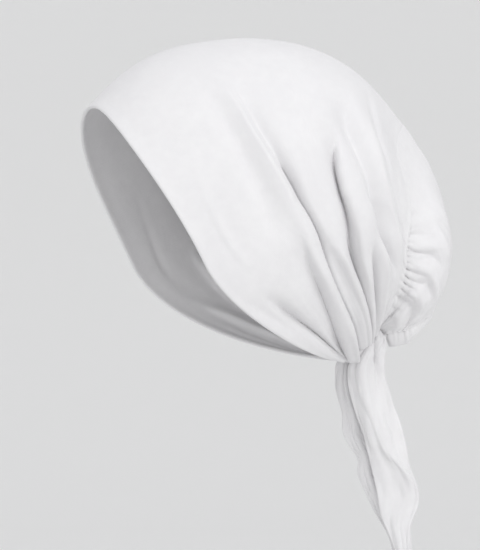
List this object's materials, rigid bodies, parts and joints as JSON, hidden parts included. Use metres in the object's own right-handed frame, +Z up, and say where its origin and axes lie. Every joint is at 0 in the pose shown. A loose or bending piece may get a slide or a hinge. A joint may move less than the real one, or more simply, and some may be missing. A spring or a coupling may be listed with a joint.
{
  "type": "tie-back bandana",
  "caption": "Soft jersey head wrap with a gathered back pouch on an elastic hem, its ties knotted at the nape.",
  "frame": {"origin": "inside of the crown, where the top of a head sits", "axes": "+Z up, -Y towards the forehead, +X towards the wearer's left"},
  "size_m": [0.1596, 0.2425, 0.3396],
  "materials": {
    "white_jersey": "fine matt jersey knit",
    "hem_jersey": "gathered jersey casing over elastic",
    "tie_jersey": "jersey strap, twisted and folded"
  },
  "bodies": {
    "root": {"front_panel": "white_jersey", "back_pouch": "white_jersey", "pouch_hem": "hem_jersey", "knot_wrap": "tie_jersey", "right_tail": "tie_jersey", "left_tail": "tie_jersey"}
  },
  "joints": []
}
